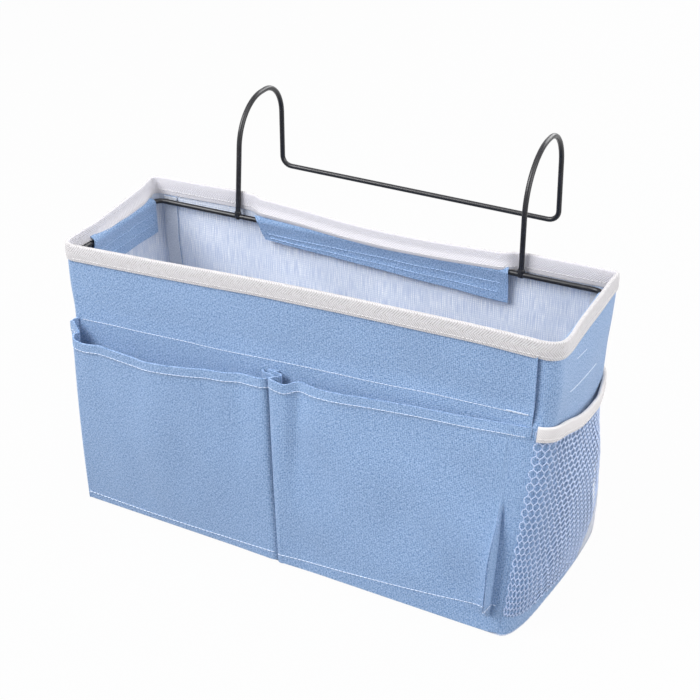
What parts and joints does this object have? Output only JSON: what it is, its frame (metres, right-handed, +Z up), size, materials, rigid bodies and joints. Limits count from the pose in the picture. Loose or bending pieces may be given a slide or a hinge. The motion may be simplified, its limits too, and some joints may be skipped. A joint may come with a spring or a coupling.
{
  "type": "bedside caddy",
  "caption": "Soft rectangular fabric caddy with front bellows pockets and net end pockets, hung over a bed rail by a bent wire frame that hook and loop flaps hold.",
  "frame": {"origin": "middle of the underside of the flat base", "axes": "+X along the front, to the right as seen from the front; +Y towards the bed rail; +Z up"},
  "size_m": [0.4054, 0.2203, 0.296],
  "materials": {
    "blue_fabric": "slubby plain weave",
    "binding_tape": "herringbone twill",
    "net": "knitted net",
    "frame_wire": "satin black",
    "hook_and_loop": "hook and loop"
  },
  "bodies": {
    "bag_and_frame": {"front_panel": "blue_fabric", "back_panel": "blue_fabric", "right_end_panel": "blue_fabric", "left_end_panel": "blue_fabric", "base_panel": "blue_fabric", "left_front_pocket": "blue_fabric", "right_front_pocket": "blue_fabric", "rim_binding": "binding_tape", "right_net_binding": "binding_tape", "left_net_binding": "binding_tape", "right_net_pocket": "net", "left_net_pocket": "net", "rim_ring": "frame_wire", "hook_bracket": "frame_wire", "left_weld": "frame_wire", "right_weld": "frame_wire", "back_loop_strip": "hook_and_loop", "right_loop_strip": "hook_and_loop", "left_loop_strip": "hook_and_loop"},
    "back_flap_body": {"back_flap": "blue_fabric", "back_hook_strip": "hook_and_loop"},
    "right_flap_body": {"right_flap": "blue_fabric", "right_hook_strip": "hook_and_loop"},
    "left_flap_body": {"left_flap": "blue_fabric", "left_hook_strip": "hook_and_loop"}
  },
  "joints": [
    {"name": "back_flap_hinge", "type": "hinge", "parent": "bag_and_frame", "child": "back_flap_body", "pos_m": [0.006, 0.0581, 0.2108], "axis": [-1, 0, 0], "range_deg": [0, 110]},
    {"name": "right_flap_hinge", "type": "hinge", "parent": "bag_and_frame", "child": "right_flap_body", "pos_m": [0.1871, 0.006, 0.2108], "axis": [0, 1, 0], "range_deg": [0, 110]},
    {"name": "left_flap_hinge", "type": "hinge", "parent": "bag_and_frame", "child": "left_flap_body", "pos_m": [-0.1871, 0.006, 0.2108], "axis": [0, -1, 0], "range_deg": [0, 110]}
  ]
}
